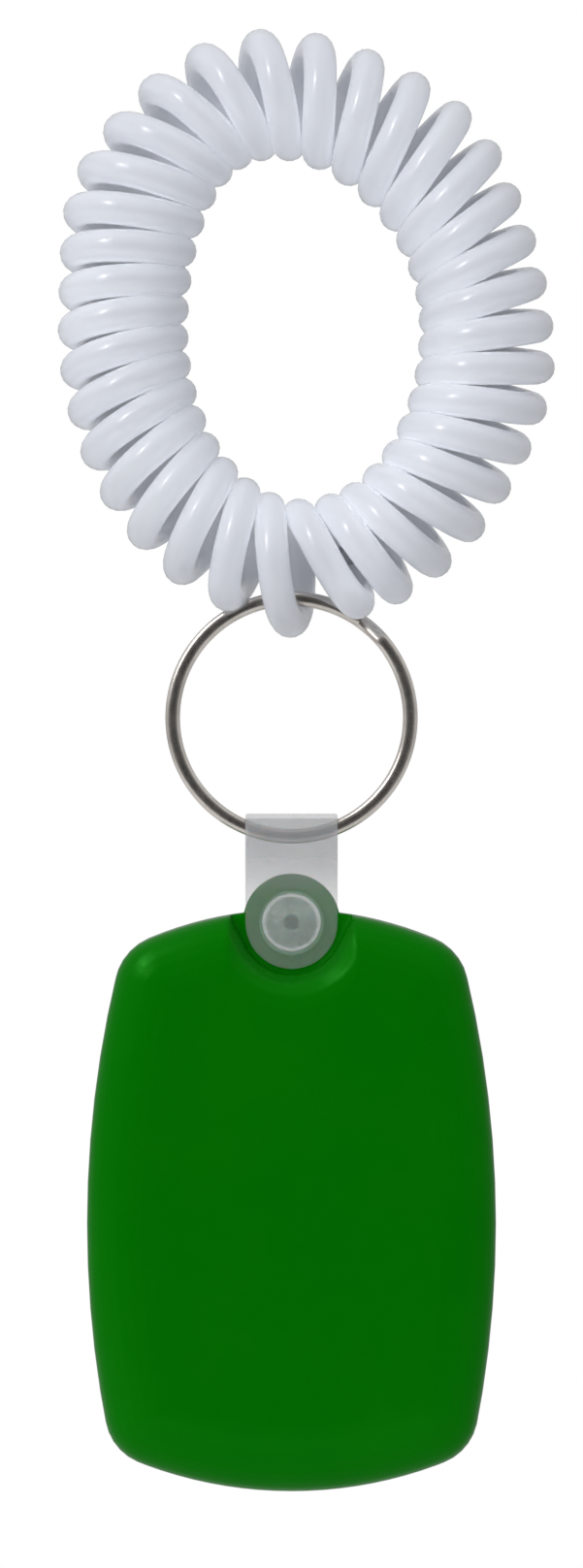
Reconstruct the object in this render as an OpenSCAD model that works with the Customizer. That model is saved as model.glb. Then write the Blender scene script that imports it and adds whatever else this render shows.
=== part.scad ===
// Dog-training clicker on a springy wrist coil.
// Hanging pose: Z is up, X is to the right, and the plain front of the housing faces -Y.
// The origin is the inside top of the wrist coil, where it hangs from a wrist or a hook.

/* [Wrist coil] */
// Diameter of the round plastic cord
cord_d = 3.4; // [3:0.1:3.5]
// Outside diameter of the tube that the cord is wound into
coil_od = 13.5; // [13:0.1:14]
// Half of the coil's width, at the middle of its turns
coil_half_w = 18.6; // [17:0.1:20]
// Half of the coil's height, at the middle of its turns
coil_half_h = 24.15; // [23.5:0.05:24.5]
// How far the top of the coil leans to the left
coil_top_lean = 3; // [0:0.1:4]

/* [Split ring] */
// Outside diameter of the split ring
ring_od = 26; // [25.6:0.1:26]
// Width of the ring's flat wire, across its face
ring_wire_w = 1.5; // [1.3:0.1:1.5]
// Thickness of the two layers of wire together
ring_t = 1.76; // [1.5:0.02:1.76]

/* [Snap strap] */
// Width of the strap
strap_w = 9.5; // [9:0.1:9.6]
// Thickness of the strap's vinyl
strap_t = 0.5; // [0.4:0.05:0.5]
// Radius of the snap's caps
snap_cap_r = 3.3; // [2.8:0.1:3.6]

/* [Housing] */
// Half of the housing's greatest width
housing_half_w = 21; // [20:0.1:22]
// Height of the housing without its lug
housing_h = 59.7; // [58:0.1:61]
// Depth of each shell, from the parting face to the flat panel
shell_depth = 5; // [4.9:0.05:5.2]
// Thickness of the shells' walls
wall = 1.5; // [1.3:0.05:1.6]
// Width of the rounded shoulder round each flat panel
shoulder_w = 7; // [6:0.1:8]
// Radius of the lug that the strap holds
lug_r = 5; // [4.8:0.05:5.1]

/* [Thumb button and click strip] */
// Radius of the thumb button
button_r = 8.5; // [7.5:0.1:9]
// How far the thumb button travels
button_travel = 1.5; // [1:0.1:1.5]
// Width of the spring-steel strip
strip_w = 11; // [10:0.1:11.5]
// Thickness of the spring-steel strip
strip_t = 0.4; // [0.3:0.05:0.45]

/* [Hidden] */
$fn = 64;

eps = 0.01;
over = 1;             // how far a cutter runs past the face that it cuts
slip = 0.02;          // gap between parts that are fastened together
bearing_gap = 0.08;   // radial running clearance

// Coil: the centreline is an oval whose upper half leans to the left
coil_x = 1.25;
coil_z = -(coil_half_h - coil_od / 2);
coil_sections = 48;
coil_sides = 12;
ring_slot_half_w = 10.5;
ring_slot_top = -43.9;
ring_slot_floor = -60;
sleeve_wall = 0.5;
sleeve_r = cord_d / 2 + sleeve_wall;
sleeve_l = 4;
sleeve_pos = [5.65, (coil_od - cord_d) / 2, -40.85];
sleeve_tilt = -19;

// Ring
ring_z = -57.5;
ring_layer_t = ring_t / 2 - slip;
ring_edge_r = 0.3;
ring_split_angle = 53;
ring_split_step = 10;
ring_end_gap = 0.5;

// Strap: its legs lie either side of the lug, and its loop hangs on the ring's lowest wire
loop_z = -69.75;
loop_inner_h = 1.85;
loop_steps = 16;
leg_in = 1.85;
leg_out = leg_in + strap_t;
fold_gap = 0.4;
snap_z = -78.6;
cap_t = 0.8;
cap_flange_t = 0.3;
cap_crown_r = 2.4;
cap_dome_r = 6;
post_r = 0.75;
rear_post_l = 1.4;
front_post_l = 1.1;
stud_blind_y = 0.8;
socket_blind_y = -1.2;
stud_base_r = 3 - bearing_gap;
stud_base_front = 0.15;
stud_r = 1.5;
stud_tip = -0.6;
socket_r = 2.6;
socket_rim = 0;
socket_floor = -0.9;
socket_bore_r = 1.75;

// Housing outline: two side arcs, a top arc and a bottom arc, with rounded corners
housing_top = -77.3;
housing_bottom = housing_top - housing_h;
widest_z = -109.5;
side_arc_r = 110;
top_arc_r = 38;
bottom_arc_r = 43;
corner_r = 5.5;
outline_fn = 160;
edge_h = 2;
cavity_edge_h = 1.3;
seam_chamfer = 0.15;
shoulder_steps = 8;
cavity_steps = 4;
lug_half_t = 1.75;
pivot_r = 3;
recess_r = 5.2;
recess_flare = 3.6;
recess_steps = 4;
swivel_room = 27;
recess_reach = 14;

// Shell screws
screw_spots = [[-12.8, -86], [12.8, -86], [-13, -128.5], [13, -128.5]];
front_boss_r = 2.4;
rear_boss_r = 3;
screw_shank_r = 1;
screw_shank_gap = 0.15;
screw_head_r = 1.8;
screw_head_h = 1.2;
screw_head_gap = 0.1;
counterbore_y = 3.2;
screw_tip_y = -3.6;
screw_hole_end_y = -4;

// Click strip, held loosely by its upper end
strip_pivot_z = -97.5;
strip_front_y = -0.15;
strip_top_z = -96;
strip_bottom_z = -128;
slot_front_y = -0.3;
slot_rear_y = 0.4;
slot_half_h = 1.5;
slot_side_gap = 0.5;
strip_corner_r = 1.2;
peg_r = 0.8;
peg_x = 3;
peg_gap = 0.3;
dimple_z = -107;
dimple_r = 3.5;
dimple_h = 0.7;
retainer_w = 19;
retainer_h = 4;
retainer_t = 1.5;
retainer_corner_r = 1;
retainer_screw_x = 7.75;
retainer_screw_r = 0.8;
retainer_screw_l = 4;
retainer_head_r = 1.5;
retainer_head_h = 0.9;
retainer_hole_end_y = -2.6;

// Thumb button
button_z = -116;
button_crown = 1;
pressed_proud = 0.1;  // how far the crown still stands out when it is pressed
button_edge_y = shell_depth + button_travel + pressed_proud - button_crown;
flange_r = 10;
flange_t = 0.8;
flange_gap = 0.05;
plunger_r = 2.5;
plunger_tip_r = 4;
plunger_gap = 0.05;

// ---------- helpers ----------

// A solid between two Y planes, whose outline is drawn in X and Z
module slab_y(y0, y1) {
  translate([0, y1, 0]) rotate([90, 0, 0]) linear_extrude(y1 - y0) children();
}

// A round bar along Y
module bar_y(x, z, y0, y1, r) {
  translate([x, y1, z]) rotate([90, 0, 0]) cylinder(h = y1 - y0, r = r);
}

module block(low, high) {
  translate(low) cube(high - low);
}

module rounded_square(w, h, r) {
  union() {
    translate([-w / 2 + r, -h / 2]) square([w - 2 * r, h]);
    translate([-w / 2, -h / 2 + r]) square([w, h - 2 * r]);
    for (x = [-1, 1], y = [-1, 1]) translate([x * (w / 2 - r), y * (h / 2 - r)]) circle(r, $fn = 24);
  }
}

// ---------- wrist coil ----------

function lean(t) = sin(t) > 0 ? coil_top_lean * sin(t) * sin(t) : 0;
function lean_rate(t) = sin(t) > 0 ? 2 * coil_top_lean * sin(t) * cos(t) : 0;
function coil_point(t) = [coil_x + coil_half_w * cos(t) - lean(t), 0, coil_z + coil_half_h * sin(t)];
function coil_outward(t) =
  let (dx = -coil_half_w * sin(t) - lean_rate(t), dz = coil_half_h * cos(t))
  [dz, 0, -dx] / norm([dx, dz]);
function coil_rim(t, a) = coil_point(t) + coil_od / 2 * (cos(a) * coil_outward(t) + sin(a) * [0, 1, 0]);
function ring_index(i, j) = (i % coil_sections) * coil_sides + j % coil_sides;

module fat_coil() {
  points = [
    for (i = [0:coil_sections - 1], j = [0:coil_sides - 1])
      coil_rim(360 * i / coil_sections, 360 * (j + 0.5) / coil_sides)
  ];
  faces = [
    for (i = [0:coil_sections - 1], j = [0:coil_sides - 1])
      [ring_index(i, j), ring_index(i, j + 1), ring_index(i + 1, j + 1), ring_index(i + 1, j)]
  ];
  polyhedron(points, faces, convexity = 6);
}

module sleeve_frame() {
  translate(sleeve_pos) rotate([0, sleeve_tilt, 0]) children();
}

// One fat closed tube stands for the wound cord; the split ring hangs in a notch at its lowest point
module wrist_coil() {
  notch_low = [-ring_slot_half_w, -coil_od, ring_slot_floor];
  notch_high = [ring_slot_half_w, coil_od, ring_slot_top];
  color("white") difference() {
    fat_coil();
    block(notch_low, notch_high);
    sleeve_frame() cylinder(h = sleeve_l + 2 * slip, r = sleeve_r + slip, center = true);
  }
}

module coil_splice_sleeve() {
  color("whitesmoke") sleeve_frame() cylinder(h = sleeve_l, r = sleeve_r, center = true);
}

// ---------- split ring ----------

module ring_section() {
  for (side = [-1, 1])
    translate([ring_od / 2 - ring_wire_w / 2, side * (ring_layer_t / 2 + slip / 2)])
      rounded_square(ring_wire_w, ring_layer_t + slip, ring_edge_r);
  translate([ring_od / 2 - ring_wire_w + ring_edge_r, -slip])
    square([ring_wire_w - 2 * ring_edge_r, 2 * slip]);
}

// Two layers of flat wire, each with its own cut end
module split_ring() {
  color("silver") translate([0, 0, ring_z]) rotate([90, 0, 0]) difference() {
    rotate_extrude() ring_section();
    for (side = [-1, 1])
      rotate(side > 0 ? ring_split_angle : ring_split_angle - ring_split_step)
        translate([ring_od / 2 - ring_wire_w - over, -ring_end_gap / 2, side > 0 ? slip : -slip - ring_t])
          cube([ring_wire_w + 2 * over, ring_end_gap, ring_t]);
  }
}

// ---------- snap strap ----------

module leg_outline(top) {
  translate([0, snap_z]) circle(strap_w / 2);
  translate([-strap_w / 2, snap_z]) square([strap_w, top - snap_z]);
}

// One side of the loop's arch, as points [y, z]: half an oval of that half width and height
function arch(half_w, h) =
  [for (i = [0:loop_steps]) [half_w * cos(180 * i / loop_steps), loop_z + h * sin(180 * i / loop_steps)]];
function reversed(v) = [for (i = [len(v) - 1:-1:0]) v[i]];

// Rear leg and the loop over the ring
module strap() {
  loop_outline = concat(arch(leg_out, loop_inner_h + strap_t), reversed(arch(leg_in, loop_inner_h)));
  color([0.86, 0.87, 0.88, 0.6]) union() {
    difference() {
      slab_y(leg_in, leg_out) leg_outline(loop_z + eps);
      bar_y(0, snap_z, leg_in - over, leg_out + over, post_r + slip);
    }
    translate([-strap_w / 2, 0, 0]) rotate([90, 0, 90]) linear_extrude(strap_w) polygon(loop_outline);
  }
}

// Front leg, which folds open when the snap is pulled apart
module strap_flap() {
  color([0.86, 0.87, 0.88, 0.6]) difference() {
    slab_y(-leg_out, -leg_in) leg_outline(loop_z - fold_gap);
    bar_y(0, snap_z, -leg_out - over, -leg_in + over, post_r + slip);
  }
}

// Flanged disc with a domed middle on the strap's outside, and the post that holds the snap's inner half
module cap_shape(post_l) {
  union() {
    cylinder(h = cap_flange_t, r = snap_cap_r);
    intersection() {
      cylinder(h = cap_t, r = cap_crown_r);
      translate([0, 0, cap_t - cap_dome_r]) sphere(cap_dome_r, $fn = 96);
    }
    translate([0, 0, -post_l]) cylinder(h = post_l + eps, r = post_r);
  }
}

module snap_rear_cap() {
  color([0.9, 0.9, 0.92, 0.7]) translate([0, leg_out, snap_z]) rotate([-90, 0, 0]) cap_shape(rear_post_l);
}

module snap_front_cap() {
  color([0.9, 0.9, 0.92, 0.7]) translate([0, -leg_out, snap_z]) rotate([90, 0, 0]) cap_shape(front_post_l);
}

// The stud's base turns in the lug's hole
module snap_stud() {
  color("gainsboro") difference() {
    union() {
      bar_y(0, snap_z, stud_base_front, leg_in, stud_base_r);
      bar_y(0, snap_z, stud_tip, stud_base_front + eps, stud_r);
    }
    bar_y(0, snap_z, stud_blind_y, leg_in + over, post_r + slip);
  }
}

module snap_socket() {
  color("gainsboro") difference() {
    bar_y(0, snap_z, -leg_in, socket_rim, socket_r);
    bar_y(0, snap_z, socket_floor, socket_rim + over, socket_bore_r);
    bar_y(0, snap_z, -leg_in - over, socket_blind_y, post_r + slip);
  }
}

// ---------- housing ----------

module arc_disc(x, z, r) {
  translate([x, z]) circle(r, $fn = outline_fn);
}

// The housing's outline, moved inwards by inset
module housing_outline(inset) {
  core = max(inset, corner_r);
  side_x = side_arc_r - housing_half_w;
  offset(r = max(corner_r - inset, eps), $fn = 32) intersection() {
    arc_disc(side_x, widest_z, side_arc_r - core);
    arc_disc(-side_x, widest_z, side_arc_r - core);
    arc_disc(0, housing_top - top_arc_r, top_arc_r - core);
    arc_disc(0, housing_bottom + bottom_arc_r, bottom_arc_r - core);
  }
}

// Crowned form of one shell, its open side on y = 0 and its panel towards +Y
module pillow(inset, edge, depth, steps) {
  hull() {
    slab_y(0, eps) housing_outline(inset + seam_chamfer);
    slab_y(seam_chamfer, edge) housing_outline(inset);
    for (i = [1:steps]) {
      a = 90 * i / steps;
      y = edge + (depth - edge) * sin(a);
      slab_y(y - eps, y) housing_outline(inset + shoulder_w * (1 - cos(a)));
    }
  }
}

// A tapered slice of the fan-shaped space that the strap's end needs for the housing to swivel
module fan_slice(y0, y1, r0, r1) {
  side = recess_reach * sin(swivel_room);
  up = recess_reach * cos(swivel_room);
  hull() {
    for (p = [[0, 0], [-side, up], [side, up]])
      translate([p[0], y0, snap_z + p[1]]) rotate([-90, 0, 0])
        cylinder(h = y1 - y0, r1 = r0, r2 = r1, $fn = 48);
  }
}

// The space round the strap's end, which flares out into the panel
function flare_y(i) = lug_half_t + (shell_depth - lug_half_t) * sin(90 * i / recess_steps);
function flare_r(i) = recess_r + recess_flare * (1 - cos(90 * i / recess_steps));

module recess() {
  for (i = [1:recess_steps])
    fan_slice(flare_y(i - 1), flare_y(i) + eps, flare_r(i - 1), flare_r(i));
}

// The wall that the recess leaves inside the shell
module recess_backing() {
  fan_slice(lug_half_t - wall, shell_depth, recess_r + wall, recess_r + recess_flare + wall);
}

// One hollow shell with its half of the lug, drawn towards +Y
module shell_form(boss_r) {
  difference() {
    union() {
      difference() {
        pillow(0, edge_h, shell_depth, shoulder_steps);
        difference() {
          translate([0, -over, 0])
            pillow(wall, cavity_edge_h, shell_depth - wall + over, cavity_steps);
          recess_backing();
          for (p = screw_spots) bar_y(p[0], p[1], -2 * over, shell_depth - wall / 2, boss_r);
        }
      }
      bar_y(0, snap_z, 0, lug_half_t, lug_r);
    }
    recess();
    bar_y(0, snap_z, -over, shell_depth, pivot_r);
  }
}

// The block that the click strip is held on: a slot across it, with a lip above and below
module strip_block() {
  half_w = retainer_w / 2;
  half_h = retainer_h / 2;
  slot_half_w = strip_w / 2 + slot_side_gap;
  lip_room = half_h - slot_half_h + over;
  difference() {
    block([-half_w, -shell_depth + wall / 2, strip_pivot_z - half_h],
          [half_w, slot_rear_y, strip_pivot_z + half_h]);
    block([-slot_half_w, slot_front_y, strip_pivot_z - retainer_h],
          [slot_half_w, over, strip_pivot_z + retainer_h]);
    for (z0 = [strip_pivot_z - half_h - over, strip_pivot_z + slot_half_h])
      block([-slot_half_w, -shell_depth + wall, z0], [slot_half_w, over, z0 + lip_room]);
  }
  for (x = [-peg_x, peg_x]) bar_y(x, strip_pivot_z, slot_front_y - over / 2, slot_rear_y - slip, peg_r);
}

// Plain front shell, which the screws bite into
module front_shell() {
  color([0, 0.4, 0.05]) difference() {
    union() {
      mirror([0, 1, 0]) shell_form(front_boss_r);
      strip_block();
    }
    for (p = screw_spots) bar_y(p[0], p[1], screw_hole_end_y, over, screw_shank_r + slip);
    for (x = [-retainer_screw_x, retainer_screw_x])
      bar_y(x, strip_pivot_z, retainer_hole_end_y, over, retainer_screw_r + slip);
  }
}

// Rear shell, with the opening for the thumb button and the screws' counterbores
module rear_shell() {
  color([0, 0.4, 0.05]) difference() {
    shell_form(rear_boss_r);
    bar_y(0, button_z, 0, shell_depth + over, button_r + bearing_gap);
    for (p = screw_spots) {
      bar_y(p[0], p[1], -over, shell_depth, screw_shank_r + screw_shank_gap);
      bar_y(p[0], p[1], counterbore_y, shell_depth + over, screw_head_r + screw_head_gap);
    }
  }
}

// ---------- fasteners ----------

// Pan-head screw along +Y, its head's seat at y = 0, with a cross recess
module pan_screw(shank_r, shank_l, head_r, head_h) {
  cross_w = head_r * 0.28;
  cross_l = head_r * 1.1;
  cross_floor = head_h * 0.45;
  rim_h = head_h * 0.6;
  top_r = head_r * 0.75;
  rotate([-90, 0, 0]) difference() {
    union() {
      translate([0, 0, -shank_l]) cylinder(h = shank_l + eps, r = shank_r);
      cylinder(h = rim_h, r = head_r);
      translate([0, 0, rim_h]) cylinder(h = head_h - rim_h, r1 = head_r, r2 = top_r);
    }
    for (turn = [0, 90])
      rotate(turn) translate([-cross_l / 2, -cross_w / 2, cross_floor]) cube([cross_l, cross_w, head_h]);
  }
}

module shell_screws() {
  color("silver")
    for (p = screw_spots)
      translate([p[0], counterbore_y, p[1]])
        pan_screw(screw_shank_r, counterbore_y - screw_tip_y, screw_head_r, screw_head_h);
}

module retainer_screws() {
  color("silver")
    for (x = [-retainer_screw_x, retainer_screw_x])
      translate([x, slot_rear_y + retainer_t, strip_pivot_z])
        pan_screw(retainer_screw_r, retainer_screw_l, retainer_head_r, retainer_head_h);
}

// ---------- click mechanism ----------

module strip_retainer() {
  color([0.1, 0.1, 0.1]) difference() {
    slab_y(slot_rear_y, slot_rear_y + retainer_t)
      translate([0, strip_pivot_z]) rounded_square(retainer_w, retainer_h, retainer_corner_r);
    for (x = [-retainer_screw_x, retainer_screw_x])
      bar_y(x, strip_pivot_z, slot_rear_y - over, slot_rear_y + retainer_t + over,
            retainer_screw_r + screw_head_gap);
  }
}

// Spring-steel strip with a pressed dimple; it is trapped by two pegs near its upper end
module click_strip() {
  dimple_sphere_r = (dimple_r * dimple_r + dimple_h * dimple_h) / (2 * dimple_h);
  sphere_y = strip_front_y - dimple_h + dimple_sphere_r;
  mid_z = (strip_top_z + strip_bottom_z) / 2;
  color([0.75, 0.78, 0.82]) difference() {
    union() {
      slab_y(strip_front_y, strip_front_y + strip_t)
        translate([0, mid_z]) rounded_square(strip_w, strip_top_z - strip_bottom_z, strip_corner_r);
      intersection() {
        translate([0, sphere_y, dimple_z]) sphere(dimple_sphere_r, $fn = 96);
        bar_y(0, dimple_z, strip_front_y - dimple_h - over, strip_front_y + eps, dimple_r + bearing_gap);
      }
    }
    intersection() {
      translate([0, sphere_y + strip_t, dimple_z]) sphere(dimple_sphere_r, $fn = 96);
      bar_y(0, dimple_z, strip_front_y - over, strip_front_y + strip_t + over, dimple_r);
    }
    for (x = [-peg_x, peg_x])
      bar_y(x, strip_pivot_z, strip_front_y - over, strip_front_y + strip_t + over, peg_r + peg_gap);
  }
}

// Round button: a domed top, a flange that keeps it in, and a plunger that presses the strip
module thumb_button() {
  flange_rear_y = shell_depth - wall - flange_gap;
  flange_front_y = flange_rear_y - flange_t;
  tip_y = strip_front_y + strip_t + plunger_gap;
  crown_y = button_edge_y + button_crown;
  crown_r = (button_r * button_r + button_crown * button_crown) / (2 * button_crown);
  color([0, 0.4, 0.05]) translate([0, 0, button_z]) rotate([-90, 0, 0]) union() {
    intersection() {
      translate([0, 0, flange_front_y]) cylinder(h = crown_y - flange_front_y, r = button_r);
      translate([0, 0, crown_y - crown_r]) sphere(crown_r, $fn = 128);
    }
    translate([0, 0, flange_front_y]) cylinder(h = flange_t, r = flange_r);
    intersection() {
      translate([0, 0, tip_y - over]) cylinder(h = flange_front_y - tip_y + over + eps, r = plunger_r);
      translate([0, 0, tip_y + plunger_tip_r]) sphere(plunger_tip_r);
    }
  }
}

wrist_coil();
coil_splice_sleeve();
split_ring();
strap();
strap_flap();
snap_rear_cap();
snap_stud();
snap_socket();
snap_front_cap();
front_shell();
rear_shell();
thumb_button();
click_strip();
strip_retainer();
retainer_screws();
shell_screws();
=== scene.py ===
"""The looks of a dog-training clicker that hangs from a springy wrist coil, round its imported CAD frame.

Lengths are in metres unless a name ends in _mm. +Z is up, and the plain front faces -Y.
"""

import math

import bmesh
import bpy
import numpy as np
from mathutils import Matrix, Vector


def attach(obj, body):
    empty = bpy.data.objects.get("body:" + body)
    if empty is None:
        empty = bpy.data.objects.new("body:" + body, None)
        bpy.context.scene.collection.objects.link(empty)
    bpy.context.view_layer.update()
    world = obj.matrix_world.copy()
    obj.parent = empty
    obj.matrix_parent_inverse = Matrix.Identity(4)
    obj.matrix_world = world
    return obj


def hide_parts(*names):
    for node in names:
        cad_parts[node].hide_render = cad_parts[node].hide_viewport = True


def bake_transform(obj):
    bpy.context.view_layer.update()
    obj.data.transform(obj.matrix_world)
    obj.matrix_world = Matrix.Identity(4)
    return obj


MM = 0.001

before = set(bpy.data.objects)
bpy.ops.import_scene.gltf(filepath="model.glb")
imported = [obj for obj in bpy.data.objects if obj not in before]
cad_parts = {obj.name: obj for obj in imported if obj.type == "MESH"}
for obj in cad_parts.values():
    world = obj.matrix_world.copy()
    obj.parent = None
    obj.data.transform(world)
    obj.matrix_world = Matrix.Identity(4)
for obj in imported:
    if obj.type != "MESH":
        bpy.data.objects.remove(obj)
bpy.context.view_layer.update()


# ---------- camera ----------

VIEW_HEIGHT = 0.1617
VIEW_CENTRE_Z = -0.06435
CAMERA_DISTANCE = 0.5
SENSOR = 36.0  # in millimetres, as the lens is


def make_camera():
    data = bpy.data.cameras.new("camera")
    data.sensor_width = SENSOR
    data.lens = SENSOR * CAMERA_DISTANCE / VIEW_HEIGHT
    data.clip_start, data.clip_end = 0.01, 50
    cam = bpy.data.objects.new("camera", data)
    cam.location = (0, -CAMERA_DISTANCE, VIEW_CENTRE_Z)
    cam.rotation_euler = (math.pi / 2, 0, 0)
    bpy.context.scene.collection.objects.link(cam)
    bpy.context.scene.camera = cam


make_camera()


# ---------- wrist coil: the cord ----------

CORD_D = 3.4 * MM
WINDING_R = 5.05 * MM  # from the winding's middle to the cord's middle
TURNS = 34
POINTS_PER_TURN = 40
CORD_SIDES = 18
COIL_X, COIL_Z = 1.25 * MM, -17.4 * MM
HALF_W, HALF_H, TOP_LEAN = 18.6 * MM, 24.15 * MM, 3 * MM

FIRST_TIP = 0.297  # where turn 0 stands, as a share of the way round, anticlockwise from the right
CROWDING = 1.3 * MM  # turns stand closer at the sides than at the top and bottom
SWAY = 0.33 * MM
SLIDE = 0.55 * MM  # how far turns slide clockwise at both sides
RIGHT_SLIDE = 0.3 * MM  # how much further they slide at the right, and less at the left
LEAN = 0.46 * MM  # how far outer tips stand ahead of inner ones, beyond the winding's own pitch
LEAN_CHANGE = 0.26 * MM
# Where outer tips stand out: degrees anticlockwise from the right, how far, and over how many degrees.
BULGES = ((52, 1.1 * MM, 17), (-15, 0.8 * MM, 18), (144, 1.0 * MM, 15))

RING_TURN, NEXT_TURN = 15, 16  # the split ring hangs in these two
RING_LEAN = 0.6 * MM
RING_PULL = 1.0 * MM  # how far the ring pulls its turn down
PULL_TURNS = 0.3  # how many turns the pull fades over
RING_PUSHES = ((14, 3.2 * MM), (16, 4.6 * MM))  # turn, how far the ring pushes its tip forwards
PUSH_TURNS = 0.24  # how many turns each push fades over
NEXT_SHIFT = 1.1 * MM  # how far the ring pushes the next turn along
SPLICE = NEXT_TURN + 0.25  # the cord's ends meet at the back of this turn
SPLICE_GAP = 0.012  # half the gap between the ends, in turns
SLEEVE_HALF_TURN = 0.062  # half the sleeve's length, in turns
SLEEVE_WALL, SLEEVE_BEAD = 0.42 * MM, 0.08 * MM
SLEEVE_ROUNDED = 0.16  # share of each half, at its end, that is rounded off
BEAD_SPREAD = 0.09  # the bead's width, as a share of half the sleeve
SLEEVE_END_WALL = 0.02  # smallest share of the wall's height squared, which keeps the end open
SLEEVE_POINTS_PER_TURN, SLEEVE_SIDES = 400, 40


def centreline(samples=3600):
    """Points round the middle of the winding, their outward normals, tangents and the way so far."""
    t = np.linspace(0, 2 * np.pi, samples + 1)
    s = np.sin(t)
    lean = np.where(s > 0, TOP_LEAN * s * s, 0)
    p = np.stack([COIL_X + HALF_W * np.cos(t) - lean, 0 * t, COIL_Z + HALF_H * s], 1)
    step = np.diff(p, axis=0)
    way = np.concatenate([[0], np.cumsum(np.linalg.norm(step, axis=1))])
    tangent = np.gradient(p, axis=0)
    tangent[0] = tangent[-1] = p[1] - p[-2]
    tangent /= np.linalg.norm(tangent, axis=1)[:, None]
    normal = np.stack([tangent[:, 2], 0 * t, -tangent[:, 0]], 1)
    return p, normal, tangent, way


LINE, LINE_NORMAL, LINE_TANGENT, LINE_WAY = centreline()
LOOP_LENGTH = LINE_WAY[-1]


def hump(turn, at_turn, width):
    return np.exp(-(((turn - at_turn) / width) ** 2))


def along(turn):
    """How far round the loop the winding has come after so many turns, in metres."""
    share = FIRST_TIP + turn / TURNS
    angle = 2 * np.pi * share
    even = share * LOOP_LENGTH
    uneven = SWAY * np.cos(angle - math.radians(30)) - CROWDING * np.sin(2 * angle - math.radians(7))
    slide = SLIDE * np.cos(angle) ** 2 + RIGHT_SLIDE * np.cos(angle)
    return even + uneven - slide + NEXT_SHIFT * hump(turn, NEXT_TURN, 1)


def extra_lean(angle, turn):
    """How far the outer tips stand anticlockwise of the middle beyond the winding's own pitch."""
    change = LEAN_CHANGE * np.sin(2 * angle - math.radians(25))
    return LEAN + change + RING_LEAN * hump(turn, (RING_TURN + NEXT_TURN) / 2, 1)


def winding(first, last, per_turn=POINTS_PER_TURN):
    """Points along the wound cord's middle between two turns."""
    turn = np.linspace(first, last, int((last - first) * per_turn) + 1)
    wrapped = np.mod(turn, TURNS)
    way = np.mod(along(wrapped), LOOP_LENGTH)
    at = lambda values: np.stack([np.interp(way, LINE_WAY, values[:, i]) for i in range(3)], 1)
    middle, outward, ahead = at(LINE), at(LINE_NORMAL), at(LINE_TANGENT)
    phase = 2 * np.pi * turn
    angle = np.arctan2(middle[:, 2] - COIL_Z, middle[:, 0] - COIL_X)
    reach = WINDING_R * np.cos(phase) + RING_PULL * hump(wrapped, RING_TURN, PULL_TURNS)
    bulge = sum(by * hump(np.degrees(angle), at_angle, spread) for at_angle, by, spread in BULGES)
    reach = reach + bulge * (1 + np.cos(phase)) / 2
    sideways = extra_lean(angle, wrapped) * np.cos(phase)
    points = middle + outward * reach[:, None] + ahead * sideways[:, None]
    points[:, 1] += WINDING_R * np.sin(phase)
    for pushed_turn, forwards in RING_PUSHES:
        points[:, 1] -= forwards * hump(wrapped, pushed_turn, PUSH_TURNS) * np.cos(phase) ** 2
    return points


def skin(bm, loops):
    """Joins equal loops of points into a tube with a cap at each end."""
    rows = [[bm.verts.new(p) for p in loop] for loop in loops]
    for low, high in zip(rows, rows[1:]):
        for i in range(len(low)):
            j = (i + 1) % len(low)
            bm.faces.new((low[i], low[j], high[j], high[i]))
    bm.faces.new(rows[0])
    bm.faces.new(rows[-1])


def new_piece(name, bm, smooth_angle=40):
    mesh = bpy.data.meshes.new(name)
    bmesh.ops.recalc_face_normals(bm, faces=bm.faces)
    bm.to_mesh(mesh)
    bm.free()
    mesh.shade_smooth()
    mesh.set_sharp_from_angle(angle=math.radians(smooth_angle))
    obj = bpy.data.objects.new(name, mesh)
    bpy.context.scene.collection.objects.link(obj)
    return obj


def tube(name, path, radii, sides):
    """A round tube along the path, with a radius for each of its points."""
    ahead = np.gradient(path, axis=0)
    ahead /= np.linalg.norm(ahead, axis=1)[:, None]
    side = Vector(ahead[0]).orthogonal().normalized()
    loops = []
    for point, way, radius in zip(path, ahead, radii):
        point, way = Vector(point), Vector(way)
        side = (side - way * side.dot(way)).normalized()
        up = way.cross(side)
        ring = [2 * math.pi * i / sides for i in range(sides)]
        loops.append([point + (side * math.cos(a) + up * math.sin(a)) * float(radius) for a in ring])
    bm = bmesh.new()
    skin(bm, loops)
    return new_piece(name, bm)


def make_sleeve():
    """The short moulded sleeve that the cord's two ends are glued into, with a raised bead at each end."""
    path = winding(SPLICE - SLEEVE_HALF_TURN, SPLICE + SLEEVE_HALF_TURN, SLEEVE_POINTS_PER_TURN)
    share_out = np.abs(np.linspace(-1, 1, len(path)))
    bead_at = 1 - SLEEVE_ROUNDED
    into_end = ((share_out - bead_at) / SLEEVE_ROUNDED).clip(0)
    rim = np.sqrt(np.clip(1 - into_end**2, SLEEVE_END_WALL, 1))
    radii = CORD_D / 2 + SLEEVE_WALL * rim + SLEEVE_BEAD * hump(share_out, bead_at, BEAD_SPREAD)
    sleeve = tube("splice_sleeve", path, radii, SLEEVE_SIDES)
    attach(sleeve, "coil")
    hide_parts("coil_splice_sleeve")
    return sleeve


cord_line = winding(SPLICE + SPLICE_GAP, SPLICE + TURNS - SPLICE_GAP)
cord = tube("coil_cord", cord_line, [CORD_D / 2] * len(cord_line), CORD_SIDES)
sleeve = make_sleeve()
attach(cord, "coil")
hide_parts("wrist_coil")
tuple(cord_line[0])
[tuple(p) for p in cord_line]


# ---------- materials ----------


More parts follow.
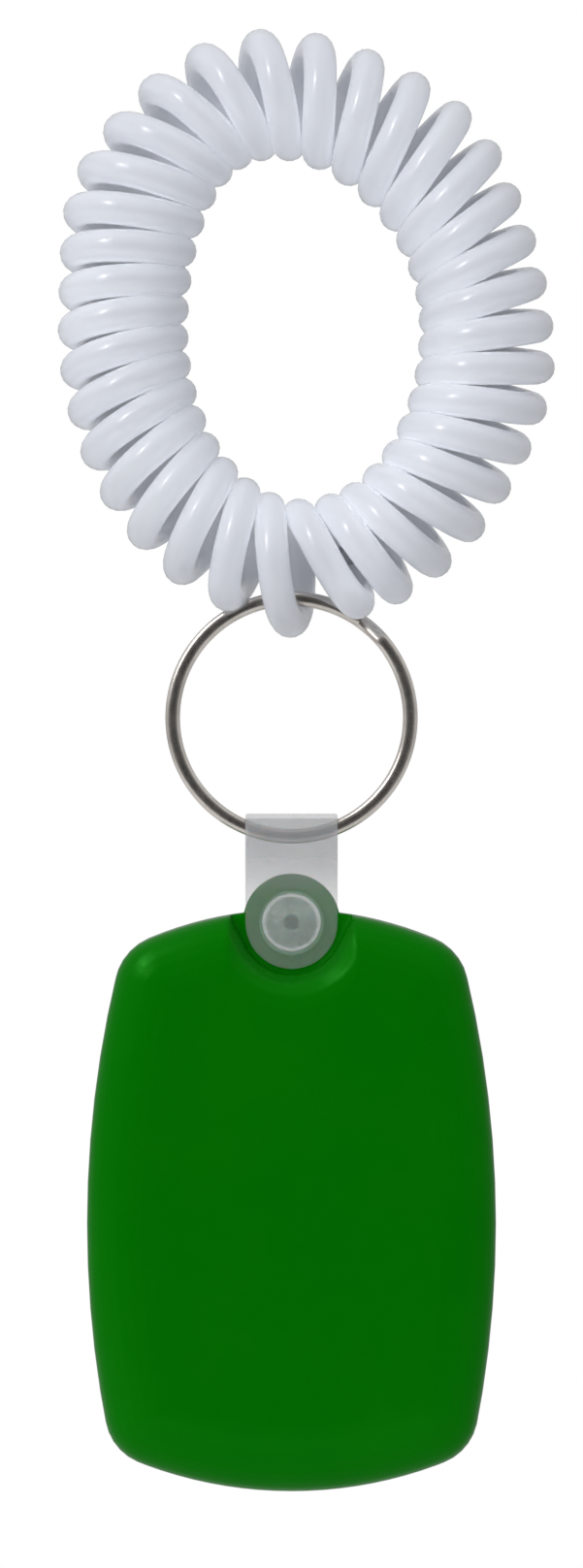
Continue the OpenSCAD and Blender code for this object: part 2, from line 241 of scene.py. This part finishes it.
class Nodes:
    """Short words for building one material's node tree."""

    def __init__(self, name):
        self.material = bpy.data.materials.new(name)
        self.material.use_nodes = True
        self.tree = self.material.node_tree
        self.tree.nodes.clear()
        self.out = self.add("ShaderNodeOutputMaterial")

    def add(self, kind, **settings):
        node = self.tree.nodes.new(kind)
        for key, value in settings.items():
            setattr(node, key, value)
        return node

    def link(self, a, b):
        self.tree.links.new(a, b)

    def principled(self, **values):
        node = self.add("ShaderNodeBsdfPrincipled")
        for key, value in values.items():
            node.inputs[key.replace("_", " ")].default_value = value
        return node

    def place(self):
        return self.add("ShaderNodeTexCoord").outputs["Object"]

    def noise(self, scale, detail=3.0, roughness=0.5):
        node = self.add("ShaderNodeTexNoise")
        node.inputs["Scale"].default_value = scale
        node.inputs["Detail"].default_value = detail
        node.inputs["Roughness"].default_value = roughness
        self.link(self.place(), node.inputs["Vector"])
        return node.outputs["Fac"]

    def remap(self, value, low, high, from_low=0.3, from_high=0.7):
        node = self.add("ShaderNodeMapRange")
        limits = {"From Min": from_low, "From Max": from_high, "To Min": low, "To Max": high}
        for key, number in limits.items():
            node.inputs[key].default_value = number
        self.link(value, node.inputs["Value"])
        return node.outputs["Result"]

    def blend(self, value, low, high):
        node = self.add("ShaderNodeMix", data_type="RGBA")
        node.inputs[6].default_value = (*low, 1)
        node.inputs[7].default_value = (*high, 1)
        self.link(value, node.inputs[0])
        return node.outputs[2]

    def bump(self, height, strength, distance):
        node = self.add("ShaderNodeBump")
        node.inputs["Strength"].default_value = strength
        node.inputs["Distance"].default_value = distance
        self.link(height, node.inputs["Height"])
        return node.outputs["Normal"]

    def finish(self, shader):
        self.link(shader.outputs[0], self.out.inputs["Surface"])
        return self.material


def plastic(name, dark, light, roughness, bump_size, bump_depth, subsurface=0.0, soft_edge=0.0, sheen=None):
    """Moulded plastic. sheen is the strength and colour of its reflections, unless they are plain."""
    n = Nodes(name)
    shader = n.principled(IOR=1.5, Subsurface_Weight=subsurface, Subsurface_Scale=7 * MM)
    shader.subsurface_method = "BURLEY"
    shader.inputs["Subsurface Radius"].default_value = (1, 1, 1)
    if sheen:
        shader.inputs["Specular IOR Level"].default_value = sheen[0]
        shader.inputs["Specular Tint"].default_value = (*sheen[1], 1)
    cloudy = n.noise(90, 2)
    n.link(n.blend(n.remap(cloudy, 0, 1), dark, light), shader.inputs["Base Color"])
    n.link(n.remap(n.noise(400, 4), roughness * 0.8, roughness * 1.25), shader.inputs["Roughness"])
    surface = n.bump(n.noise(bump_size, 3), 0.25, bump_depth)
    if soft_edge:
        edge = n.add("ShaderNodeBevel", samples=6)
        edge.inputs["Radius"].default_value = soft_edge
        n.link(edge.outputs[0], surface.node.inputs["Normal"])
    n.link(surface, shader.inputs["Normal"])
    return n.finish(shader)


def metal(name, dark, light, roughness, streak_scale=900):
    n = Nodes(name)
    shader = n.principled(Metallic=1.0)
    n.link(n.blend(n.remap(n.noise(700, 4), 0, 1), dark, light), shader.inputs["Base Color"])
    streaks = n.noise(streak_scale, 5, 0.7)
    n.link(n.remap(streaks, roughness * 0.8, roughness * 1.25), shader.inputs["Roughness"])
    n.link(n.bump(n.noise(streak_scale, 2), 0.05, 0.00002), shader.inputs["Normal"])
    return n.finish(shader)


def clear_vinyl(name, dark, light, seen_through, roughness):
    """Frosted clear vinyl: part of what lies behind shows through it, more of it further down.

    seen_through holds that share for each face at CLOUDY_Z, and at CLEAR_Z.
    """
    n = Nodes(name)
    body = n.principled(IOR=1.5, Subsurface_Weight=0.3, Subsurface_Scale=0.8 * MM)
    n.link(n.blend(n.remap(n.noise(250, 3), 0, 1), dark, light), body.inputs["Base Color"])
    n.link(n.remap(n.noise(600, 4), roughness * 0.8, roughness * 1.3), body.inputs["Roughness"])
    n.link(n.bump(n.noise(350, 3), 0.2, 0.00008), body.inputs["Normal"])
    clear = n.add("ShaderNodeBsdfTransparent")
    mix = n.add("ShaderNodeMixShader")
    height = n.add("ShaderNodeSeparateXYZ")
    n.link(n.place(), height.inputs[0])
    n.link(n.remap(height.outputs["Z"], *seen_through, CLOUDY_Z, CLEAR_Z), mix.inputs[0])
    n.link(body.outputs[0], mix.inputs[1])
    n.link(clear.outputs[0], mix.inputs[2])
    return n.finish(mix)


CLOUDY_Z, CLEAR_Z = -71.5 * MM, -76 * MM
GREEN_SHEEN = (0.3, (0.1, 0.8, 0.1))
WHITE_CORD = plastic(
    "white_cord", (0.61, 0.63, 0.685), (0.64, 0.66, 0.71), 0.15, 600, 0.00001, subsurface=1
)
WHITE_SLEEVE = plastic("white_sleeve", (0.72, 0.75, 0.81), (0.77, 0.79, 0.84), 0.3, 900, 0.00003)
GREEN = plastic(
    "green_shell",
    (0.0, 0.145, 0.0),
    (0.001, 0.152, 0.0),
    0.22,
    500,
    0.00002,
    soft_edge=0.8 * MM,
    sheen=GREEN_SHEEN,
)
GREEN_BUTTON = plastic(
    "green_button", (0.0, 0.13, 0.0), (0.003, 0.155, 0.0), 0.3, 2500, 0.00005, sheen=GREEN_SHEEN
)
NICKEL = metal("nickel_wire", (0.58, 0.54, 0.50), (0.70, 0.66, 0.62), 0.22)
SPRING_STEEL = metal("spring_steel", (0.48, 0.50, 0.53), (0.62, 0.64, 0.67), 0.3)
SCREW_STEEL = metal("screw_steel", (0.55, 0.55, 0.56), (0.68, 0.68, 0.69), 0.22)
BLACK_NYLON = plastic("black_nylon", (0.02, 0.02, 0.022), (0.035, 0.035, 0.038), 0.5, 1500, 0.00005)
VINYL = clear_vinyl("clear_vinyl", (0.43, 0.44, 0.46), (0.49, 0.50, 0.52), (0.67, 0.84), 0.22)
SNAP = clear_vinyl("snap_plastic", (0.42, 0.58, 0.50), (0.52, 0.68, 0.60), (0.85, 0.85), 0.2)

cord.data.materials.append(WHITE_CORD)
sleeve.data.materials.append(WHITE_SLEEVE)

# ---------- split ring ----------


def rounded_bar(half_w, half_t, r, corner_steps=5, side_steps=1):
    """Outline of a bar with round corners, as (across, through) pairs."""
    r = min(r, half_w, half_t)
    points = []
    for quarter, (sx, sy) in enumerate(((1, 1), (-1, 1), (-1, -1), (1, -1))):
        for i in range(corner_steps + 1):
            a = math.pi / 2 * (quarter + i / corner_steps)
            points.append((sx * (half_w - r) + r * math.cos(a), sy * (half_t - r) + r * math.sin(a)))
        if quarter in (0, 2):
            for i in range(1, side_steps):
                x = sx * (half_w - r) * (1 - 2 * i / side_steps)
                points.append((x, sy * half_t))
    return points


def crowned_bar(half_w, half_t, squareness=2.5, steps=24):
    """Outline of a bar whose faces bulge a little, as (across, through) pairs."""
    points = []
    for i in range(steps):
        c, s = math.cos(2 * math.pi * i / steps), math.sin(2 * math.pi * i / steps)
        reach = (abs(c) ** squareness + abs(s) ** squareness) ** (-1 / squareness)
        points.append((half_w * reach * c, half_t * reach * s))
    return points


RING_Z = -57.5 * MM
WIRE_W, LAYER_T = 1.5 * MM, 0.86 * MM
LAYER_Y = 0.44 * MM  # how far each layer's middle stands from the ring's
RING_R = 12.25 * MM
SPLIT_ANGLE = math.radians(53)
JOG_ANGLE = math.radians(14)  # over which the wire crosses from the front layer to the rear one
END_GAP = math.radians(1.6)


def make_ring():
    start, turn = SPLIT_ANGLE + END_GAP, 2 * math.pi
    stop = start + 2 * turn - JOG_ANGLE - 2 * END_GAP
    outline = crowned_bar(WIRE_W / 2, LAYER_T / 2)
    loops = []
    steps = 420
    for i in range(steps + 1):
        a = start + (stop - start) * i / steps
        across = min(max((a - SPLIT_ANGLE - turn + JOG_ANGLE) / JOG_ANGLE, 0), 1)
        layer = (2 * across * across * (3 - 2 * across) - 1) * LAYER_Y
        end = min(i, steps - i)
        shrink = (0.8, 0.94)[end] if end < 2 else 1
        out = Vector((math.cos(a), 0, math.sin(a)))
        centre = RING_R * out + Vector((0, layer, RING_Z))
        loops.append([centre + out * (x * shrink) + Vector((0, y * shrink, 0)) for x, y in outline])
    bm = bmesh.new()
    skin(bm, loops)
    ring = new_piece("split_ring_wire", bm)
    ring.data.materials.append(NICKEL)
    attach(ring, "ring")
    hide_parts("split_ring")


make_ring()


# ---------- snap strap ----------

STRAP_HALF_W, STRAP_T = 4.75 * MM, 0.5 * MM
LOOP_Z, SNAP_Z = -69.75 * MM, -78.6 * MM
LEG_Y = 2.1 * MM
LOOP_H = 2.1 * MM
JOIN_Z = LOOP_Z - 0.2 * MM  # the loop and the front leg meet here
ROUND_STEPS = 14


def leg_stations(top_z, side):
    """Places down one leg from its top to its round end, as (y, z, half width)."""
    stations = []
    straight = 24
    for i in range(straight):
        stations.append((side * LEG_Y, top_z + (SNAP_Z - top_z) * i / straight, STRAP_HALF_W))
    for i in range(ROUND_STEPS):
        a = math.pi / 2 * (1 - (1 - i / ROUND_STEPS) ** 1.3)
        stations.append((side * LEG_Y, SNAP_Z - STRAP_HALF_W * math.sin(a), STRAP_HALF_W * math.cos(a)))
    return stations


def arch_stations():
    steps = 28
    return [
        (LEG_Y * math.cos(math.pi * i / steps), LOOP_Z + LOOP_H * math.sin(math.pi * i / steps), STRAP_HALF_W)
        for i in range(1, steps)
    ]


def ribbon(name, stations, node):
    """A flat strap through the stations, which is round along its edges."""
    loops = []
    for i, (y, z, half_w) in enumerate(stations):
        before, after = stations[max(i - 1, 0)], stations[min(i + 1, len(stations) - 1)]
        way = Vector((0, after[0] - before[0], after[1] - before[1])).normalized()
        through = Vector((0, way.z, -way.y))
        edge = STRAP_T / 2
        outline = rounded_bar(half_w, edge, edge * 0.98, corner_steps=4, side_steps=12)
        loops.append([Vector((x, y, z)) + through * t for x, t in outline])
    bm = bmesh.new()
    skin(bm, loops)
    strap = new_piece(name, bm, 50)
    strap.data.materials.append(VINYL)
    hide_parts(node)
    return strap


def make_strap():
    rear = list(reversed(leg_stations(LOOP_Z, 1)))
    stub = [(-LEG_Y, LOOP_Z, STRAP_HALF_W), (-LEG_Y, JOIN_Z, STRAP_HALF_W)]
    loop = ribbon("strap_loop", rear + arch_stations() + stub, "strap")
    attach(loop, "strap")
    front = ribbon("strap_front_leg", leg_stations(JOIN_Z, -1), "strap_flap")
    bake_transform(front)


make_strap()


NODE_MATERIALS = {
    "snap_rear_cap": SNAP,
    "snap_stud": SNAP,
    "snap_socket": SNAP,
    "snap_front_cap": SNAP,
    "front_shell": GREEN,
    "rear_shell": GREEN,
    "thumb_button": GREEN_BUTTON,
    "click_strip": SPRING_STEEL,
    "strip_retainer": BLACK_NYLON,
    "retainer_screws": SCREW_STEEL,
    "shell_screws": SCREW_STEEL,
}


def dress(node_name, material):
    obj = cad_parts[node_name]
    obj.data.materials.clear()
    obj.data.materials.append(material)
    obj.data.shade_smooth()
    obj.data.set_sharp_from_angle(angle=math.radians(32))


for node_name, material in NODE_MATERIALS.items():
    dress(node_name, material)


# ---------- stage and light ----------

FLOOR_Z = -0.25
FLOOR_SIZE = 1.1
LIGHT_FROM = (-0.25, -0.3, 0.9)  # the matt tent is brightest on this side
MATT_BANDS = ((0, 0.35), (0.5, 0.38), (0.75, 0.7), (1, 1))
GLOSS_BANDS = ((0, 0.7), (0.5, 0.95), (0.85, 0.8), (0.95, 0.25), (1, 0.08))  # shares towards the camera
GLOSS_FROM_BELOW = 0.35  # the glossy tent's strength underneath, as a share of its strength above


def make_floor():
    mesh = bpy.data.meshes.new("floor")
    h = FLOOR_SIZE / 2
    corners = [(-h, -h, FLOOR_Z), (h, -h, FLOOR_Z), (h, h, FLOOR_Z), (-h, h, FLOOR_Z)]
    mesh.from_pydata(corners, [], [(0, 1, 2, 3)])
    floor = bpy.data.objects.new("floor", mesh)
    bpy.context.scene.collection.objects.link(floor)
    n = Nodes("pale_floor")
    top = n.principled(Roughness=0.8)
    grey = n.blend(n.remap(n.noise(3, 2), 0, 1), (0.80, 0.80, 0.80), (0.84, 0.84, 0.84))
    n.link(grey, top.inputs["Base Color"])
    clear = n.add("ShaderNodeBsdfTransparent")
    mix = n.add("ShaderNodeMixShader")
    n.link(n.add("ShaderNodeNewGeometry").outputs["Backfacing"], mix.inputs[0])
    n.link(top.outputs[0], mix.inputs[1])
    n.link(clear.outputs[0], mix.inputs[2])
    mesh.materials.append(n.finish(mix))


def make_lamp(name, location, target, size, power):
    data = bpy.data.lights.new(name, "AREA")
    data.shape = "RECTANGLE"
    data.size, data.size_y = size
    data.energy = power
    lamp = bpy.data.objects.new(name, data)
    lamp.location = location
    lamp.rotation_euler = (Vector(target) - Vector(location)).to_track_quat("-Z", "Y").to_euler()
    bpy.context.scene.collection.objects.link(lamp)


def tent(tree, share, bands, strength=None):
    """A grey backdrop all round, which follows the bands of (share, grey)."""
    backdrop = tree.nodes.new("ShaderNodeBackground")
    ramp = tree.nodes.new("ShaderNodeValToRGB")
    ramp.color_ramp.interpolation = "EASE"
    stops = ramp.color_ramp.elements
    for place, _ in bands[1:-1]:
        stops.new(place)
    for stop, (place, grey) in zip(stops, bands):
        stop.position = place
        stop.color = (grey, grey, grey, 1)
    tree.links.new(share, ramp.inputs["Fac"])
    tree.links.new(ramp.outputs["Color"], backdrop.inputs["Color"])
    if strength:
        tree.links.new(strength, backdrop.inputs["Strength"])
    return backdrop.outputs[0]


def make_world():
    """White to the camera, a soft tent to matt surfaces, and a banded tent to glossy ones."""
    world = bpy.data.worlds.new("studio")
    bpy.context.scene.world = world
    world.use_nodes = True
    tree = world.node_tree
    tree.nodes.clear()
    add, link = tree.nodes.new, tree.links.new
    coord = add("ShaderNodeTexCoord")

    def share_towards(direction, low=0.0):
        """How far each place lies towards the direction: low is opposite it and 1 is in it."""
        dot, lift = add("ShaderNodeVectorMath"), add("ShaderNodeMapRange")
        dot.operation = "DOT_PRODUCT"
        dot.inputs[1].default_value = Vector(direction).normalized()
        lift.inputs["From Min"].default_value = -1
        lift.inputs["To Min"].default_value = low
        link(coord.outputs["Generated"], dot.inputs[0])
        link(dot.outputs["Value"], lift.inputs["Value"])
        return lift.outputs["Result"]

    seen = add("ShaderNodeBackground")
    seen.inputs["Color"].default_value = (1, 1, 1, 1)
    path = add("ShaderNodeLightPath")
    by_gloss, by_camera = add("ShaderNodeMixShader"), add("ShaderNodeMixShader")
    link(path.outputs["Is Glossy Ray"], by_gloss.inputs[0])
    link(tent(tree, share_towards(LIGHT_FROM), MATT_BANDS), by_gloss.inputs[1])
    gloss_strength = share_towards((0, 0, 1), GLOSS_FROM_BELOW)
    link(tent(tree, share_towards((0, -1, 0)), GLOSS_BANDS, gloss_strength), by_gloss.inputs[2])
    link(path.outputs["Is Camera Ray"], by_camera.inputs[0])
    link(by_gloss.outputs[0], by_camera.inputs[1])
    link(seen.outputs[0], by_camera.inputs[2])
    link(by_camera.outputs[0], add("ShaderNodeOutputWorld").inputs["Surface"])


make_floor()
make_world()
make_lamp("key", (-0.62, -0.72, 0.5), (0, 0, -0.06), (0.34, 0.6), 2.6)
make_lamp("spark", (-0.6, -0.7, 0.5), (0, 0, -0.06), (0.07, 0.11), 0.8)
bpy.context.scene.view_settings.view_transform = "Standard"
